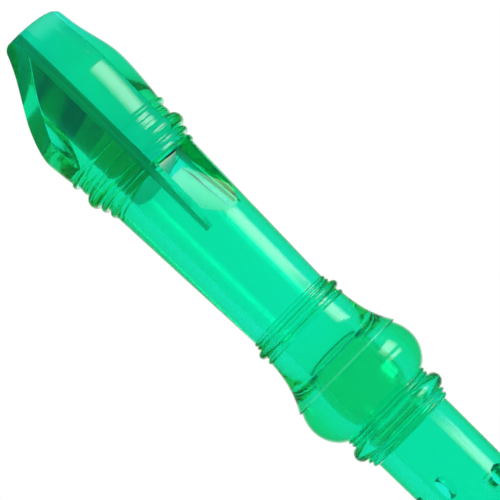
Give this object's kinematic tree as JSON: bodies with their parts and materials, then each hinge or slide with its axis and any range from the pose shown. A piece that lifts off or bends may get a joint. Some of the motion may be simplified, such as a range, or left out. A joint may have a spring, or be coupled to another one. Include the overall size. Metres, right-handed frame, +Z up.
{
  "type": "descant recorder",
  "caption": "Upright end-blown duct flute in clear green moulded plastic: beaked head with window and labium, tenoned middle tube with finger holes, ringed bell foot.",
  "frame": {"origin": "centre of the foot's base, on the surface that the recorder stands on", "axes": "+Z up the bore from the foot to the beak, -Y the way the window and the finger holes face, +X to the player's left"},
  "size_m": [0.0322, 0.0322, 0.3201],
  "materials": {
    "clear_green_plastic": "polished, see-through green, with faint moulding streaks",
    "block_green_plastic": "see-through green with satin faces, darker because it sits deep in the beak"
  },
  "bodies": {
    "head": {"head_joint": "clear_green_plastic", "block": "block_green_plastic"},
    "middle": {"middle_joint": "clear_green_plastic"},
    "foot": {"foot_joint": "clear_green_plastic"}
  },
  "joints": [
    {"name": "head_pull", "type": "slide", "parent": "middle", "child": "head", "axis": [0, 0, 1], "range_m": [0, 0.0235]},
    {"name": "foot_twist", "type": "hinge", "parent": "middle", "child": "foot", "pos_m": [0, 0, 0.0686], "axis": [0, 0, 1], "continuous": true}
  ]
}
